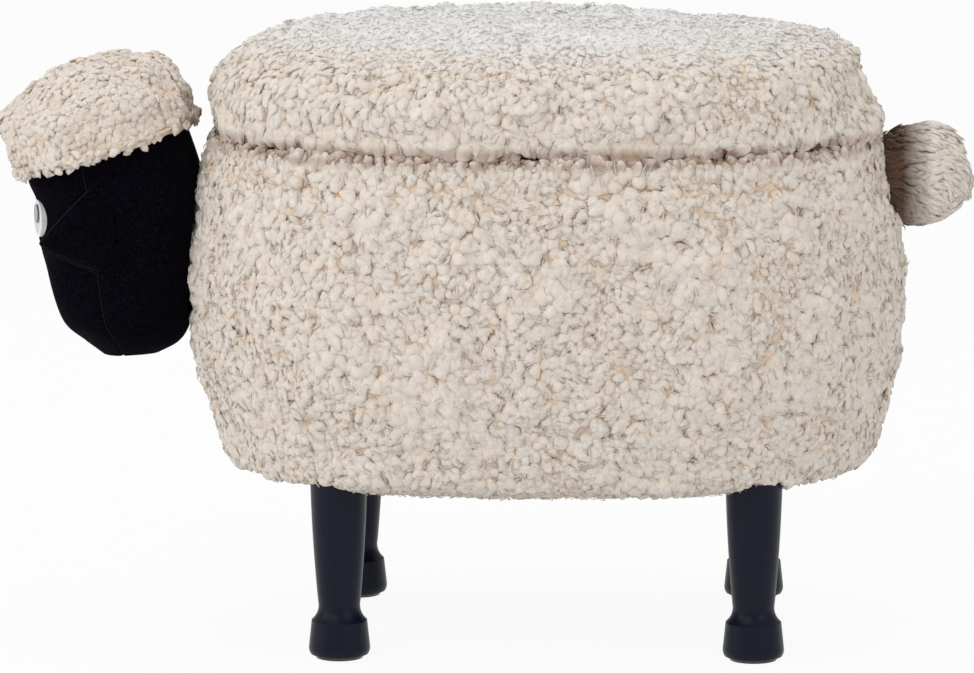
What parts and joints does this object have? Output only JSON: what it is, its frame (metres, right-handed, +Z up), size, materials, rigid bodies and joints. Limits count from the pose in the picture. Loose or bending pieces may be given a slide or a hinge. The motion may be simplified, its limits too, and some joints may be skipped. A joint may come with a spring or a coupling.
{
  "type": "storage footstool",
  "caption": "Oval upholstered storage footstool in the shape of a sheep, with turned legs, a padded head and tail and a hinged padded lid.",
  "frame": {"origin": "on the floor, under the middle of the outer box", "axes": "+Z up; -X towards the sheep's head, +X towards its tail; the lid's hinges are on the +Y side and its free edge is on the -Y side"},
  "size_m": [0.6251, 0.3248, 0.398],
  "materials": {
    "fleece": "curly pile",
    "black_cloth": "plain weave, matt",
    "painted_wood": "satin black paint",
    "plywood": "raw",
    "foam": "open-cell foam",
    "fibre_filling": "loose fibre",
    "lining_cloth": "non-woven cloth",
    "zinc_steel": "zinc plated",
    "white_plastic": "gloss",
    "black_plastic": "gloss"
  },
  "bodies": {
    "body": {"body_fleece_cover": "fleece", "wool_cap": "fleece", "tail_cover": "fleece", "head_cover": "black_cloth", "ear_left": "black_cloth", "ear_right": "black_cloth", "leg_front_left": "painted_wood", "leg_front_right": "painted_wood", "leg_back_left": "painted_wood", "leg_back_right": "painted_wood", "bottom_board": "plywood", "rim_ring": "plywood", "body_wall": "plywood", "wall_uprights": "plywood", "head_board": "plywood", "body_foam_wrap": "foam", "head_stuffing": "fibre_filling", "tail_stuffing": "fibre_filling", "compartment_lining": "lining_cloth", "compartment_floor": "lining_cloth", "dust_cover": "lining_cloth", "leg_bolts": "zinc_steel", "leg_tee_nuts": "zinc_steel", "hinge_front_body_leaf": "zinc_steel", "hinge_back_body_leaf": "zinc_steel", "hinge_front_pin": "zinc_steel", "hinge_back_pin": "zinc_steel", "hinge_body_screws": "zinc_steel", "head_bolts": "zinc_steel", "head_washers": "zinc_steel", "head_nuts": "zinc_steel", "eye_left": "white_plastic", "eye_right": "white_plastic", "pupil_left": "black_plastic", "pupil_right": "black_plastic", "foot_glides": "black_plastic"},
    "lid": {"lid_board": "plywood", "lid_foam": "foam", "lid_fleece_cover": "fleece", "lid_lining": "lining_cloth", "hinge_front_lid_leaf": "zinc_steel", "hinge_back_lid_leaf": "zinc_steel", "hinge_lid_screws": "zinc_steel"}
  },
  "joints": [
    {"name": "lid_hinge", "type": "hinge", "parent": "body", "child": "lid", "pos_m": [0.038, 0.1445, 0.324], "axis": [-1, 0, 0], "range_deg": [0, 100]}
  ]
}
